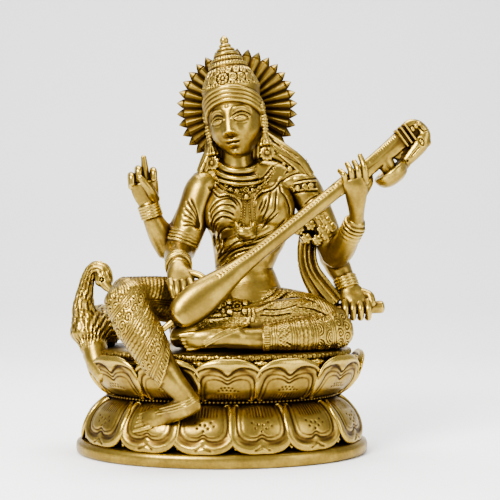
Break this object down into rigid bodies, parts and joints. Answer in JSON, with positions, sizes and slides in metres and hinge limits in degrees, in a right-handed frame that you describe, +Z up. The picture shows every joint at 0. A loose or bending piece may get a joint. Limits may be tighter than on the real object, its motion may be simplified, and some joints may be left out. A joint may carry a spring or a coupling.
{
  "type": "saraswati figure",
  "caption": "Seated four-armed goddess with a long-necked lute, a rayed halo and a swan, on an oval double lotus base, cast in brass.",
  "frame": {"origin": "middle of the flat underside of the plinth", "axes": "+Z up, -Y out of the front that the goddess faces, +X towards the head of the lute"},
  "size_m": [0.174, 0.1086, 0.2036],
  "materials": {
    "brass": "cast, polished on the high places, dark patina in the recesses"
  },
  "bodies": {
    "root": {"saraswati_figure": "brass"}
  },
  "joints": []
}
